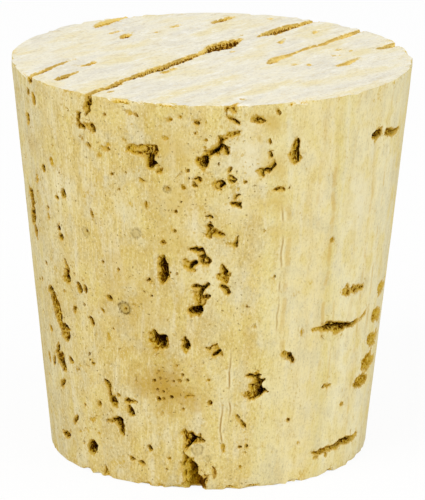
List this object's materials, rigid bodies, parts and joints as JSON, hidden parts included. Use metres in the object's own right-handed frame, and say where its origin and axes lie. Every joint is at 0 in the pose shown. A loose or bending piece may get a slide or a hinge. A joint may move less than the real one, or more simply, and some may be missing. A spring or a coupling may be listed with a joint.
{
  "type": "cork stopper",
  "caption": "Solid natural cork stopper, a plain taper with flat ends, its side and ends marked with open pores.",
  "frame": {"origin": "centre of the narrow end's face", "axes": "+Z along the stopper's axis towards the wide end; Y along the pores, which open as pits at -Y and +Y and show lengthwise at +X and -X and on both ends"},
  "size_m": [0.038, 0.038, 0.038],
  "materials": {
    "cork": "dry matt natural cork, pale cream with ochre bands and dark open pores"
  },
  "bodies": {
    "root": {"stopper": "cork"}
  },
  "joints": []
}
